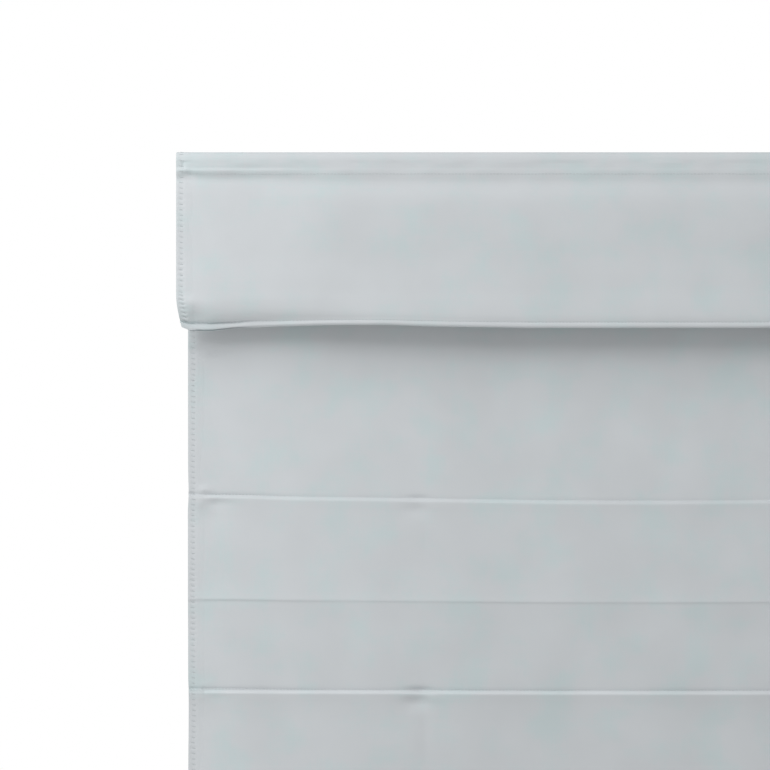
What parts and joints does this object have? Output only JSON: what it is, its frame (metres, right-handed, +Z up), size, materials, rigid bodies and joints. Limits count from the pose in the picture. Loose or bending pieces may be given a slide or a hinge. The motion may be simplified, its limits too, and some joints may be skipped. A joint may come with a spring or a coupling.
{
  "type": "roman shade",
  "caption": "Flat-fold roman shade with sewn tucks, pressed creases, hemmed edges and a flap valance over the headrail's place.",
  "frame": {"origin": "middle of the top edge, in the plane that the shade hangs against", "axes": "+Z up, +X to the right seen from the front, and the front faces -Y"},
  "size_m": [0.864, 0.0461, 1.626],
  "materials": {
    "shade_cloth": "matte",
    "thread": "matte"
  },
  "bodies": {
    "root": {"panel": "shade_cloth", "valance": "shade_cloth"}
  },
  "joints": []
}
